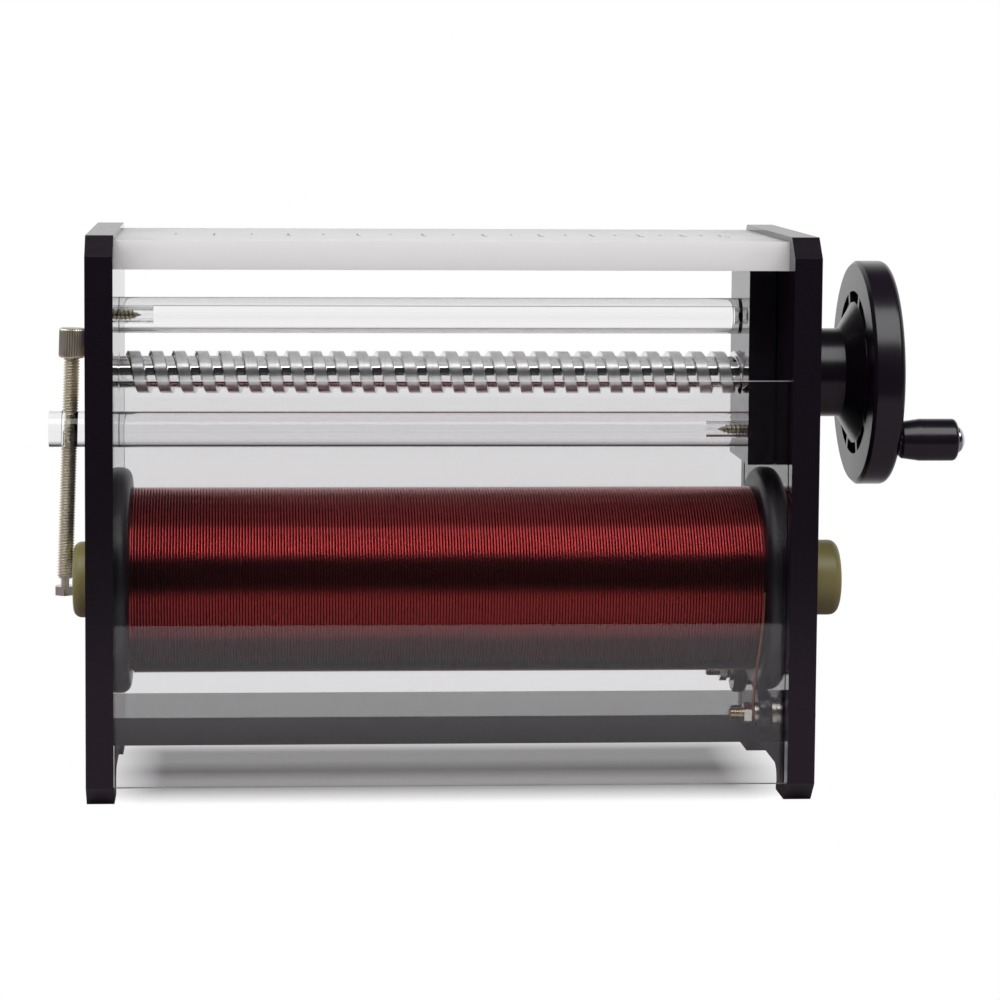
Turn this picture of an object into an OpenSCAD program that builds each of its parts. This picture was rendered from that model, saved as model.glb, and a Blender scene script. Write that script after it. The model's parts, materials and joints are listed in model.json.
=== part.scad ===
// Hand-wound variable inductor. A handwheel turns a lead screw, the screw draws a carriage
// along the frame, and the carriage's push rod slides a powder core through the coil.
// X runs along the frame towards the handwheel, Y from front to back, Z up from the table.

/* [Frame] */
// Length over the outer faces of the two end plates
frame_l = 250; // [220:1:300]
// Thickness of an end plate
plate_t = 9.5; // [8:0.5:12]
// Depth of an end plate from front to back
plate_d = 110; // [108:1:130]
// Bevel across each corner of an end plate
corner_cut = 7; // [3:0.5:9]
// Length of each foot of an end plate
foot_l = 22.5; // [15:0.5:30]
// Height of the space between the feet
foot_h = 9; // [5:0.5:9.5]
// Radius in the corners of the space between the feet
foot_r = 5; // [2:0.5:6]
// Thickness of the clear top plate
top_t = 10; // [8:0.5:12]
// Depth of the top plate from front to back
top_d = 88; // [76:1:90]
// Drop from the top of the end plates to the top plate
top_drop = 1.8; // [0.5:0.1:4]
// Height of the base bar above the table
bar_z = 10.2; // [10:0.2:14]
// Thickness of the base bar
bar_t = 10; // [8:0.5:12]
// Space between the base bar and the back panel
bar_gap = 0.4; // [0.3:0.1:8]
// Distance of the base bar's front behind the middle of the frame
bar_front = 0; // [-4:0.5:1]

/* [Clear panels] */
// Thickness of the front and back panels
panel_t = 3; // [2:0.5:4]
// Height of the panels
panel_h = 140; // [110:1:160]
// Height of the panels' lower edge above the table
panel_z = 5.6; // [4:0.2:8]
// Distance from an end plate's edge to the middle of a panel
panel_inset = 7.5; // [6:0.5:9]
// Depth of the grooves that hold the panels
groove_depth = 3; // [2:0.5:4]

/* [Rods] */
// Diameter of the clear guide rod and push rod
rod_d = 12.8; // [10:0.2:14]
// Depth of the pockets that seat the guide rod in the end plates
rod_seat = 2; // [1:0.5:4]
// Reach of the push rod outside the left end plate
push_out = 15.2; // [13:0.2:30]

/* [Lead screw] */
// Outer diameter of the thread
screw_d = 15; // [14:0.2:16]
// Diameter at the bottom of the thread
root_d = 11.6; // [11:0.1:12.4]
// Travel of the carriage for one turn
lead = 8; // [7:0.5:10]
// Width of the thread at its crest
crest_w = 4.4; // [3:0.1:4.6]
// Width of the thread at its root
base_w = 5.2; // [4.6:0.1:5.4]
// Diameter of the two journals
journal_d = 10; // [8:0.5:10.5]
// Outer diameter of the bearing bushes
bearing_d = 14; // [12.5:0.5:16]
// Diameter of the bearing bushes' outer flange
bearing_flange_d = 19; // [17:0.5:24]
// Thickness of that flange
bearing_flange_t = 1.2; // [0.8:0.1:2]

/* [Carriage] */
// Thickness of the carriage plate
carriage_t = 9.5; // [8:0.5:12]
// Width of the carriage plate from front to back
carriage_w = 41; // [34:1:60]
// Space between the coil former and the carriage
carriage_gap = 3.4; // [1:0.2:8]
// Height of the push rod above the carriage's lower edge
push_up = 10.4; // [9:0.2:14]
// Height of the lead screw above the push rod
screw_up = 20.4; // [19:0.2:26]
// Height of the guide rod above the lead screw
guide_up = 20.2; // [19:0.2:26]
// Height of the carriage above the guide rod
carriage_up = 17.7; // [9:0.1:24]
// Space between the carriage and the top plate
top_gap = 1; // [0.4:0.1:3]
// Outer diameter of the lead nut
nut_d = 22; // [20:0.5:24]
// Wall of the carriage that covers the lead nut on the left
nut_wall = 1.5; // [1:0.1:3]

/* [Handwheel] */
// Diameter of the handwheel
wheel_d = 80; // [76:1:110]
// Width of the rim along the axle
rim_w = 11.2; // [8:0.2:14]
// Thickness of the rim from its outside to its inside
rim_t = 10.4; // [9:0.2:13]
// Diameter of the hub
hub_d = 31.6; // [24:0.2:34]
// Length of the hub behind the spider
hub_l = 14.8; // [11:0.2:20]
// Step from the end of the hub to the back of the rim
dish = 5.4; // [3:0.2:8]
// Thickness of the spider
web_t = 5; // [4:0.5:8]
// Width of the ring of windows inside the rim
window_w = 4.6; // [3:0.2:7]
// Number of windows in that ring
windows = 10; // [5:1:12]
// Share of the circle that the windows take
window_share = 0.85; // [0.3:0.05:0.9]

/* [Handle] */
// Length of the turning grip
grip_l = 20; // [18:0.5:45]
// Largest diameter of the grip
grip_d = 14.8; // [12.5:0.2:18]
// Diameter of the grip at the rim
grip_neck_d = 13; // [9:0.2:14]
// Angle of the handle from straight down, towards the front
handle_angle = 52.4; // [0:0.2:90]
// Diameter of the spindle in the grip
spindle_d = 5; // [4:0.2:6]
// Diameter of the spindle's domed head
spindle_head_d = 9.6; // [8:0.2:10]
// Height of that dome
dome_h = 3; // [1:0.2:4]

/* [Coil] */
// Space between the base bar and the coil former
coil_gap = 9.9; // [8:0.1:16]
// Diameter of the coil former's flanges
flange_d = 80; // [74:1:86]
// Thickness of a flange
flange_t = 4.5; // [3:0.5:6]
// Outer diameter of the winding
coil_d = 66; // [56:1:70]
// Outer diameter of the coil former's barrel
barrel_d = 36; // [32:0.5:44]
// Wall of the barrel
barrel_wall = 4.2; // [2:0.1:5]
// Length of the barrel's spigots in the end plates
spigot_l = 4; // [2:0.5:6]
// Overall diameter of the wire
wire_d = 1.04; // [0.6:0.02:1.2]

/* [Core] */
// Inner diameter of a core ring
ring_bore = 14; // [12:0.5:16]
// Thickness of a core ring before the rings share out the core's length
ring_t = 11.85; // [8:0.05:13]
// Bevel on the inner edges of a core ring
ring_edge = 1; // [0.5:0.1:1.5]
// Radius on the outer edges of a core ring
ring_round = 3; // [1:0.2:4]
// Reach of the core outside the right end plate
core_out = 17; // [2:0.5:22]
// Reach of the core outside the left end plate
core_reach = 6.7; // [5:0.1:9]

/* [Adjusting screw] */
// Outer diameter of the adjusting screw
arm_d = 5.8; // [5:0.1:6.4]
// Diameter of the screw's turned-down end
neck_d = 3; // [2:0.1:3.4]
// Length of that end above the link nut
neck_l = 2.8; // [1:0.1:5]
// Diameter of the knurled knob
knob_d = 9.4; // [8:0.2:14]
// Height of the knurled knob
knob_h = 10.6; // [6:0.2:14]
// Height of the knob's underside above the push rod
knob_up = 19; // [4:0.5:30]
// Number of knurls round the knob
knurls = 32; // [20:1:40]
// Lean of the adjusting screw from upright
arm_lean = 1.9; // [0:0.1:3]
// Distance of the link nut's middle below the core's axis
link_drop = 3.8; // [0:0.1:4]
// Width of the link nut across its flats
link_flats = 6.4; // [5.5:0.1:8]
// Height of the link nut
link_h = 3.2; // [2:0.1:4]
// Diameter of the stud between link nut and core
stud_d = 2.6; // [1.6:0.1:3]

/* [Terminals] */
// Distance of the front terminal in front of the frame's middle
front_y = 26; // [25:0.5:32]
// Height of the front terminal above the table
front_z = 26; // [23:0.5:27]
// Distance of the back terminal behind the frame's middle
back_y = 30; // [29:0.5:34]
// Height of the back terminal above the table
back_z = 31; // [30:0.5:32]
// Diameter of the plug socket
plug_d = 4.1; // [3:0.1:4.4]
// Depth of the plug socket
plug_depth = 13; // [8:0.5:14]
// Diameter of the socket's barrel in the end plate
barrel_socket_d = 6.4; // [5.6:0.1:8]
// Diameter of the outer collar
collar_d = 13; // [10:0.5:16]
// Thickness of the outer collar
collar_t = 4.4; // [3:0.2:6]
// Width of the socket's lip round its barrel
lip_w = 1.4; // [0.8:0.1:1.6]
// Thickness of the lip, which lies flush in the collar
lip_t = 1; // [0.6:0.1:2]
// Diameter of the socket's threaded stud
socket_stud_d = 4; // [3:0.1:4.2]
// Diameter of the metal spacer
spacer_d = 11.2; // [8:0.2:14]
// Thickness of the metal spacer
spacer_t = 1.8; // [1:0.1:3]
// Diameter of the inner bush
bush_d = 16.4; // [12:0.2:17]
// Length of the inner bush
bush_t = 4.8; // [3:0.1:7]
// Diameter of the washer
washer_d = 8; // [7:0.2:10]
// Thickness of the washer
washer_t = 0.8; // [0.5:0.1:1.2]
// Width of the terminal nut across its flats
terminal_flats = 7; // [6:0.1:8]
// Height of the terminal nut
terminal_nut_h = 2.6; // [2:0.1:3.2]
// Reach of the stud beyond the terminal nut
stud_end = 5; // [2:0.5:8]

/* [Wood screws] */
// Diameter of the countersunk screws over their thread
wood_d = 4.2; // [3:0.1:4.6]
// Head diameter of the countersunk screws
wood_head_d = 8; // [7:0.1:8.8]
// Height of the countersunk head
wood_head_h = 2.5; // [1.8:0.1:3]
// Height of the edge round the head
wood_rim_h = 0.3; // [0.2:0.1:0.6]
// Length of the screw's point
wood_tip = 4; // [2:0.2:6]
// Reach of the screws beyond the plate that they pass through
wood_reach = 8; // [7:0.2:12]
// Depth of the drilled holes that take the screws
pilot_depth = 12.2; // [12.2:0.2:16]
// Distance of the top plate's screws from its edges
top_screw_edge = 14; // [8:0.5:20]
// Distance of the base bar's screws from its edges
bar_screw_edge = 12; // [8:0.5:15]

/* [Clearances] */
// Radial clearance of a running fit
run_fit = 0.06; // [0.02:0.01:0.1]
// Clearance round a fixed piece in its seat
seat_fit = 0.05; // [0.02:0.01:0.1]
// Space between faces that move past each other
slide_gap = 0.3; // [0.2:0.05:0.6]
// Radial clearance of the core in its bore
core_fit = 0.3; // [0.2:0.05:0.6]
// Clearance between the flanks of screw and nut
thread_fit = 0.25; // [0.15:0.05:0.35]

/* [Hidden] */
$fn = 96;

// Small amount by which a cut runs past a face
past = 1;
// Steps round one turn of a thread
thread_steps = 20;
// Largest turn between two points on a rounded corner
corner_step = 15;

// Places along the frame
outer_x = frame_l / 2;
inner_x = outer_x - plate_t;
inner_l = 2 * inner_x;
carriage_right = inner_x - slide_gap;
carriage_left = carriage_right - carriage_t;
hub_x = outer_x + bearing_flange_t + slide_gap;
rim_x = hub_x + hub_l + dish;
rim_front = rim_x + rim_w;
grip_x = rim_front + slide_gap;
grip_end = grip_x + grip_l;
push_left = -outer_x - push_out;
core_left = -outer_x - core_reach;
core_right = outer_x + core_out;
core_l = core_right - core_left;
rings = round(core_l / (ring_t + seat_fit));
core_pitch = core_l / rings;
ring_l = core_pitch - seat_fit;

// Heights above the table
bar_top = bar_z + bar_t;
coil_z = bar_top + coil_gap + flange_d / 2;
carriage_z = coil_z + flange_d / 2 + carriage_gap;
push_z = carriage_z + push_up;
screw_z = push_z + screw_up;
guide_z = screw_z + guide_up;
carriage_top = guide_z + carriage_up;
top_z = carriage_top + top_gap;
plate_h = top_z + top_t + top_drop;

// The origin is under the middle of the whole object
origin_x = (push_left + grip_end + dome_h) / 2;

// Coil and core
former_bore_d = barrel_d - 2 * barrel_wall;
ring_d = former_bore_d - 2 * core_fit;
winding_end = inner_x - flange_t - seat_fit;
turns = floor(2 * winding_end / wire_d);
turn_pitch = 2 * winding_end / turns;

// Lead screw
thread_left = -inner_x + slide_gap;
thread_start = thread_left + slide_gap;
thread_right = inner_x - slide_gap;
thread_room = thread_right - slide_gap - base_w - thread_start;
thread_turns = floor(thread_room / lead * thread_steps) / thread_steps;
journal_right = rim_x + web_t;
nut_x = carriage_left + nut_wall;
nut_l = carriage_t - nut_wall;
nut_bore_d = screw_d + 2 * slide_gap;

// Handle
handle_r = wheel_d / 2 - rim_t / 2;
handle_y = -handle_r * sin(handle_angle);
handle_z = screw_z - handle_r * cos(handle_angle);

// Link between adjusting screw and core
link_x = core_left - seat_fit - link_flats / 2;
link_z = coil_z - link_drop;
arm_foot = -link_h / 2;
arm_step = link_h / 2 + neck_l;
knob_z = (push_z + rod_d / 2 + knob_up - link_z) / cos(arm_lean);
knob_cap = 1.5;
arm_top = knob_z + knob_h - knob_cap;

// Stack on the inside of a terminal, from the end plate inwards
spacer_x = inner_x - spacer_t;
bush_x = spacer_x - bush_t;
washer_x = bush_x - washer_t;
wire_x = washer_x - wire_d - seat_fit;
terminal_nut_x = wire_x - terminal_nut_h;
stud_x = terminal_nut_x - stud_end;
socket_mouth = outer_x + collar_t;
lip_r = barrel_socket_d / 2 + lip_w;
terminals = [[-front_y, front_z], [back_y, back_z]];

// Base bar, from its front to the back panel
bar_d = plate_d / 2 - panel_inset - panel_t / 2 - bar_gap - bar_front;

// Screws through the end plates
top_screw_y = top_d / 2 - top_screw_edge;
bar_screw_y = bar_d / 2 - bar_screw_edge;
bar_mid_y = bar_front + bar_d / 2;

function arc(cx, cy, r, a0, a1) =
    let (steps = ceil(abs(a1 - a0) / corner_step))
    [for (i = [0 : steps])
        let (a = a0 + (a1 - a0) * i / steps)
        [cx + r * cos(a), cy + r * sin(a)]];

function ring_at(x, y, z, r, a) = [x, y + r * cos(a), z + r * sin(a)];

function unit(v) = v / norm(v);

function bezier(a, b, c, d, t) =
    pow(1 - t, 3) * a + 3 * t * pow(1 - t, 2) * b + 3 * t * t * (1 - t) * c + t * t * t * d;

// Turns a shape drawn along +Z so that it runs along +X from the given place
module along_x(x, y, z) {
    translate([x, y, z]) rotate([0, 90, 0]) children();
}

// Solid of revolution about a line along +X: points are radius and distance along the line
module revolve_x(x, y, z, points) {
    along_x(x, y, z) rotate_extrude() polygon(points);
}

module rod_x(x0, x1, y, z, d) {
    along_x(x0, y, z) cylinder(h = x1 - x0, d = d);
}

module tube_x(x0, x1, y, z, d, bore) {
    difference() {
        rod_x(x0, x1, y, z, d);
        rod_x(x0 - past, x1 + past, y, z, bore);
    }
}

// Closed skin over a row of point rings, each in the same order
module skin(rows) {
    n = len(rows[0]);
    m = len(rows);
    points = [for (row = rows) for (p = row) p];
    sides = [for (i = [0 : m - 2]) for (j = [0 : n - 1]) each [
        [i * n + j, i * n + (j + 1) % n, (i + 1) * n + (j + 1) % n],
        [i * n + j, (i + 1) * n + (j + 1) % n, (i + 1) * n + j]
    ]];
    first = [[for (j = [n - 1 : -1 : 0]) j]];
    last = [[for (j = [0 : n - 1]) (m - 1) * n + j]];
    polyhedron(points, concat(sides, first, last));
}

// Countersunk screw through a plate, with its head at the origin and its point along +Z
module wood_screw(through) {
    tip = through + wood_reach;
    rotate_extrude($fn = 48) polygon([
        [0, 0],
        [wood_head_d / 2, 0],
        [wood_head_d / 2, wood_rim_h],
        [wood_d / 2, wood_head_h + wood_rim_h],
        [wood_d / 2, tip - wood_tip],
        [0, tip]
    ]);
}

// Drilled and countersunk hole for such a screw
module wood_hole(through) {
    head_r = wood_head_d / 2 + seat_fit;
    r = wood_d / 2 + seat_fit;
    rotate_extrude($fn = 48) polygon([
        [0, -past],
        [head_r, -past],
        [head_r, wood_rim_h],
        [r, wood_head_h + wood_rim_h],
        [r, through + pilot_depth],
        [0, through + pilot_depth]
    ]);
}

// Sets a shape at each place on both end plates, pointing inwards
module at_both_ends(places) {
    for (p = places) {
        translate([-outer_x, p[0], p[1]]) rotate([0, 90, 0]) children();
        translate([outer_x, p[0], p[1]]) rotate([0, -90, 0]) children();
    }
}

guide_screw_places = [[0, guide_z]];
top_screw_places = [for (s = [-1, 1]) [s * top_screw_y, top_z + top_t / 2]];
bar_screw_places = [for (s = [-1, 1]) [bar_mid_y + s * bar_screw_y, bar_z + bar_t / 2]];

// Outline of an end plate, with Y to the right and Z up
module plate_outline() {
    half = plate_d / 2;
    gap = half - foot_l;
    r = min(foot_r, foot_h - 0.5);
    difference() {
        polygon([
            [-half, corner_cut], [-half, plate_h - corner_cut],
            [-half + corner_cut, plate_h], [half - corner_cut, plate_h],
            [half, plate_h - corner_cut], [half, corner_cut],
            [half - corner_cut, 0], [-half + corner_cut, 0]
        ]);
        polygon(concat(
            [[-gap, -past]],
            arc(-gap + r, foot_h - r, r, 180, 90),
            arc(gap - r, foot_h - r, r, 90, 0),
            [[gap, -past]]
        ));
    }
}

// Grooves for both clear panels in the inner face of the end plate on one side
module panel_grooves(side) {
    w = panel_t + 2 * seat_fit;
    for (s = [-1, 1])
        translate([
            side > 0 ? inner_x - past : -inner_x - groove_depth,
            s * (plate_d / 2 - panel_inset) - w / 2,
            panel_z - seat_fit
        ])
            cube([groove_depth + past, w, panel_h + 2 * seat_fit]);
}

// What both end plates share: side is -1 on the left and 1 on the right
module end_plate(side) {
    x0 = side > 0 ? inner_x : -outer_x;
    inner = side * inner_x;
    difference() {
        translate([x0, 0, 0]) rotate([90, 0, 90]) linear_extrude(plate_t) plate_outline();
        panel_grooves(side);
        rod_x(x0 - past, x0 + plate_t + past, 0, coil_z, former_bore_d);
        rod_x(inner - spigot_l - seat_fit, inner + spigot_l + seat_fit, 0, coil_z, barrel_d + 2 * seat_fit);
        rod_x(inner - rod_seat, inner + rod_seat, 0, guide_z, rod_d + 2 * seat_fit);
        rod_x(x0 - past, x0 + plate_t + past, 0, screw_z, bearing_d + 2 * seat_fit);
        at_both_ends(concat(guide_screw_places, top_screw_places, bar_screw_places)) wood_hole(plate_t);
        children();
    }
}

module left_plate() {
    color([0.07, 0.06, 0.08])
        end_plate(-1)
            rod_x(-outer_x - past, -inner_x + past, 0, push_z, rod_d + 2 * run_fit);
}

module right_plate() {
    color([0.07, 0.06, 0.08])
        end_plate(1)
            for (t = terminals)
                rod_x(inner_x - past, outer_x + past, t[0], t[1], barrel_socket_d + 2 * seat_fit);
}

module top_plate() {
    color([0.86, 0.86, 0.84, 0.6])
        difference() {
            translate([-inner_x, -top_d / 2, top_z]) cube([inner_l, top_d, top_t]);
            at_both_ends(top_screw_places) wood_hole(plate_t);
        }
}

module base_bar() {
    color([0.08, 0.07, 0.09])
        difference() {
            translate([-inner_x, bar_front, bar_z]) cube([inner_l, bar_d, bar_t]);
            at_both_ends(bar_screw_places) wood_hole(plate_t);
        }
}

// Clear panel on the front (-1) or the back (1)
module clear_panel(side) {
    l = inner_l + 2 * (groove_depth - seat_fit);
    y = side * (plate_d / 2 - panel_inset);
    color([0.85, 0.87, 0.9, 0.3])
        translate([-l / 2, y - panel_t / 2, panel_z]) cube([l, panel_t, panel_h]);
}

module guide_rod() {
    half = inner_x + rod_seat - seat_fit;
    color([0.85, 0.87, 0.88, 0.4])
        difference() {
            rod_x(-half, half, 0, guide_z, rod_d);
            at_both_ends(guide_screw_places) wood_hole(plate_t);
        }
}

module guide_rod_screws() {
    color([0.75, 0.72, 0.62]) at_both_ends(guide_screw_places) wood_screw(plate_t);
}

module top_plate_screws() {
    color([0.75, 0.72, 0.62]) at_both_ends(top_screw_places) wood_screw(plate_t);
}

module base_bar_screws() {
    color([0.75, 0.72, 0.62]) at_both_ends(bar_screw_places) wood_screw(plate_t);
}

// Tube that carries the winding, with a spigot in each end plate
module coil_tube() {
    tip = inner_x + spigot_l;
    color([0.06, 0.05, 0.07])
        tube_x(-tip, tip, 0, coil_z, barrel_d, former_bore_d);
}

// Flange with a rounded rim on one end of the tube: side is -1 on the left and 1 on the right
module coil_flange(side) {
    bore = barrel_d / 2 + seat_fit;
    r = flange_t / 2;
    rim = flange_d / 2 - r;
    face = inner_x - flange_t;
    profile = concat(
        [[bore, face]],
        arc(rim, face + r, r, -90, 90),
        [[bore, inner_x]]
    );
    color([0.06, 0.05, 0.07])
        revolve_x(0, 0, coil_z, [for (p = profile) [p[0], side * p[1]]]);
}

// Layers of wire on the tube, with the turns of the outer layer as ridges with bevelled sides
module winding() {
    bore = barrel_d / 2 + seat_fit;
    crest = coil_d / 2;
    dip = crest - wire_d / 3;
    bevel = turn_pitch / 4;
    profile = concat(
        [[bore, -winding_end]],
        [for (i = [0 : turns - 1])
            let (x = -winding_end + i * turn_pitch)
            each [[dip, x], [crest, x + bevel], [crest, x + turn_pitch - bevel]]],
        [[dip, winding_end], [bore, winding_end]]
    );
    color([0.42, 0.09, 0.06]) revolve_x(0, 0, coil_z, profile);
}

// Wire from the side of the winding to an eye round a terminal's stud
module coil_lead(terminal, side) {
    loop_r = (socket_stud_d + wire_d) / 2 + 2 * seat_fit;
    eye_x = wire_x + (wire_d + seat_fit) / 2;
    coil_x = winding_end - wire_d / 2 - seat_fit;
    coil_r = (coil_d + wire_d) / 2 + seat_fit;
    a = [coil_x, side * coil_r, coil_z];
    d = [eye_x, terminal[0] + side * loop_r, terminal[1]];
    fall = [0, 0, (a[2] - d[2]) / 2.5];
    steps = 14;
    eye_steps = 18;
    eye_turn = 290;
    drop = [for (i = [0 : steps - 1]) bezier(a, a - fall, d + fall, d, i / steps)];
    eye = [for (i = [0 : eye_steps])
        let (turn = eye_turn * i / eye_steps)
        ring_at(eye_x, terminal[0], terminal[1], loop_r, side < 0 ? 180 + turn : -turn)];
    path = concat(drop, eye);
    last = len(path) - 1;
    skin([for (i = [0 : last])
        let (
            along = unit(path[min(i + 1, last)] - path[max(i - 1, 0)]),
            across = unit(cross(along, [1, 0, 0])),
            out = cross(along, across)
        )
        [for (k = [0 : 7]) path[i] + wire_d / 2 * (cos(45 * k) * across + sin(45 * k) * out)]]);
}

module front_lead() {
    color([0.5, 0.2, 0.1]) coil_lead(terminals[0], -1);
}

module back_lead() {
    color([0.5, 0.2, 0.1]) coil_lead(terminals[1], 1);
}

// Bush of the lead screw, with its flange on the outside of the end plate
module bearing(side) {
    bore = journal_d / 2 + run_fit;
    revolve_x(0, 0, screw_z, [
        for (p = [
            [bore, inner_x], [bearing_d / 2, inner_x], [bearing_d / 2, outer_x],
            [bearing_flange_d / 2, outer_x], [bearing_flange_d / 2, outer_x + bearing_flange_t],
            [bore, outer_x + bearing_flange_t]
        ]) [p[0], side * p[1]]
    ]);
}

module left_bearing() {
    color([0.6, 0.48, 0.25]) bearing(-1);
}

module right_bearing() {
    color([0.6, 0.48, 0.25]) bearing(1);
}

module terminal_collars() {
    edge = min(0.8, (collar_d / 2 - lip_r - seat_fit) / 2);
    hole = barrel_socket_d / 2 + seat_fit;
    color([0.07, 0.07, 0.08])
        for (t = terminals)
            revolve_x(outer_x, t[0], t[1], [
                [hole, 0], [collar_d / 2, 0], [collar_d / 2, collar_t - edge],
                [collar_d / 2 - edge, collar_t], [lip_r + seat_fit, collar_t],
                [lip_r + seat_fit, collar_t - lip_t], [hole, collar_t - lip_t]
            ]);
}

// Socket with a plug bore at the outside and a threaded stud at the inside
module terminal_sockets() {
    lip_x = socket_mouth - lip_t;
    color([0.78, 0.66, 0.4])
        for (t = terminals)
            difference() {
                revolve_x(0, t[0], t[1], [
                    [0, stud_x], [socket_stud_d / 2 - 0.5, stud_x], [socket_stud_d / 2, stud_x + 0.5],
                    [socket_stud_d / 2, spacer_x], [barrel_socket_d / 2, spacer_x],
                    [barrel_socket_d / 2, lip_x], [lip_r, lip_x], [lip_r, socket_mouth], [0, socket_mouth]
                ]);
                rod_x(socket_mouth - plug_depth, socket_mouth + past, t[0], t[1], plug_d);
            }
}

// Ring round the inner end of a socket's barrel
module terminal_spacers() {
    color([0.75, 0.72, 0.68])
        for (t = terminals)
            tube_x(spacer_x, inner_x, t[0], t[1], spacer_d, barrel_socket_d + 2 * seat_fit);
}

module terminal_bushes() {
    edge = 0.7;
    hole = socket_stud_d / 2 + seat_fit;
    color([0.08, 0.07, 0.09])
        for (t = terminals)
            revolve_x(bush_x, t[0], t[1], [
                [hole, 0], [bush_d / 2 - edge, 0], [bush_d / 2, edge], [bush_d / 2, bush_t - edge],
                [bush_d / 2 - edge, bush_t], [hole, bush_t]
            ]);
}

module terminal_washers() {
    color([0.8, 0.78, 0.7])
        for (t = terminals)
            tube_x(washer_x, bush_x, t[0], t[1], washer_d, socket_stud_d + 2 * seat_fit);
}

// Hexagonal nut along +Z on the origin
module hex_nut(flats, h, bore) {
    difference() {
        cylinder(h = h, d = flats / cos(30), $fn = 6);
        translate([0, 0, -past]) cylinder(h = h + 2 * past, d = bore);
    }
}

module terminal_nuts() {
    color([0.85, 0.83, 0.78])
        for (t = terminals)
            along_x(terminal_nut_x, t[0], t[1])
                hex_nut(terminal_flats, terminal_nut_h, socket_stud_d + 2 * seat_fit);
}

// The lead screw: a right-hand ridge on a round root, with a journal at each end
module screw_thread() {
    n = thread_steps;
    m = round(thread_turns * n);
    root = root_d / 2;
    crest = screw_d / 2;
    flank = (base_w - crest_w) / 2;
    profile = [[0, root], [flank, crest], [base_w - flank, crest], [base_w, root]];
    function at(x, r, i) = ring_at(x, 0, screw_z, r, 360 * i / n);
    journal = journal_d / 2;
    points = concat(
        [for (j = [0 : n - 1]) at(-outer_x - bearing_flange_t, journal, j)],
        [for (j = [0 : n - 1]) at(thread_left, journal, j)],
        [for (j = [0 : n - 1]) at(thread_left, root, j)],
        [for (i = [0 : m]) for (p = profile) at(thread_start + lead * i / n + p[0], p[1], i)],
        [for (j = [0 : n - 1]) at(thread_right, root, j)],
        [for (j = [0 : n - 1]) at(thread_right, journal, j)],
        [for (j = [0 : n - 1]) at(journal_right, journal, j)]
    );
    // Point numbers: left rings 0 to 2, ridge points, right rings 0 to 2
    function e(row, j) = n * row + j % n;
    function p(i, k) = 3 * n + 4 * i + k;
    function f(row, j) = 3 * n + 4 * (m + 1) + n * row + j % n;
    function quad(a, b, c, d) = [[a, b, c], [a, c, d]];
    faces = concat(
        [[for (j = [0 : n - 1]) e(0, j)]],
        [for (row = [0, 1]) for (j = [0 : n - 1])
            each quad(e(row, j), e(row + 1, j), e(row + 1, j + 1), e(row, j + 1))],
        [for (j = [0 : n - 2]) each quad(e(2, j), p(j, 0), p(j + 1, 0), e(2, j + 1))],
        [[e(2, n - 1), p(n - 1, 0), p(n, 0), p(0, 3), p(0, 0), e(2, 0)]],
        [[p(0, 1), p(0, 0), p(0, 3), p(0, 2)]],
        [for (i = [0 : m - 1]) for (k = [0 : 2])
            each quad(p(i, k), p(i, k + 1), p(i + 1, k + 1), p(i + 1, k))],
        [for (i = [0 : m - n - 1]) each quad(p(i, 3), p(i + n, 0), p(i + n + 1, 0), p(i + 1, 3))],
        [[p(m, 0), p(m, 1), p(m, 2), p(m, 3)]],
        [[f(0, m + 1), p(m - n + 1, 3), p(m - n, 3), p(m, 0), p(m, 3), f(0, m)]],
        [for (i = [m - n + 1 : m - 1]) each quad(p(i, 3), f(0, i), f(0, i + 1), p(i + 1, 3))],
        [for (row = [0, 1]) for (j = [0 : n - 1])
            each quad(f(row, j), f(row + 1, j), f(row + 1, j + 1), f(row, j + 1))],
        [[for (j = [n - 1 : -1 : 0]) f(2, j)]]
    );
    polyhedron(points, faces);
}

module lead_screw() {
    color([0.72, 0.72, 0.73]) screw_thread();
}

// Nut with one short ridge in the screw's groove
module lead_nut() {
    wall_r = nut_bore_d / 2;
    tip_r = root_d / 2 + slide_gap;
    sunk = 0.4;
    tip_w = lead - base_w - 2 * thread_fit;
    wall_w = lead - crest_w - 2 * thread_fit;
    ridge_turns = (nut_l - wall_w - 2 * seat_fit) / lead;
    steps = ceil(ridge_turns * thread_steps);
    groove_x = thread_start + base_w / 2 + lead / 2;
    ridge_x = nut_x + (nut_l - ridge_turns * lead) / 2;
    start = 360 * (ridge_x - groove_x) / lead;
    profile = [
        [-wall_w / 2, wall_r + sunk], [wall_w / 2, wall_r + sunk],
        [tip_w / 2, tip_r], [-tip_w / 2, tip_r]
    ];
    color([0.7, 0.56, 0.28])
        union() {
            tube_x(nut_x, carriage_right, 0, screw_z, nut_d, nut_bore_d);
            skin([for (i = [0 : steps])
                let (a = 360 * ridge_turns * i / steps)
                [for (p = profile)
                    ring_at(ridge_x + lead * a / 360 + p[0], 0, screw_z, p[1], start + a)]]);
        }
}

// Ring of windows just inside the rim
module wheel_windows() {
    edge = 0.4;
    high_r = wheel_d / 2 - rim_t - edge;
    low_r = high_r - window_w + 2 * edge;
    half = 180 / windows * window_share;
    for (i = [0 : windows - 1])
        along_x(hub_x + hub_l - past, 0, screw_z)
            rotate(360 / windows * i)
                linear_extrude(dish + rim_w + past)
                    polygon(concat(
                        [for (k = [-1 : 0.5 : 1]) high_r * [cos(k * half), sin(k * half)]],
                        [for (k = [1, 0, -1]) low_r * [cos(k * half), sin(k * half)]]
                    ));
}

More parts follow.
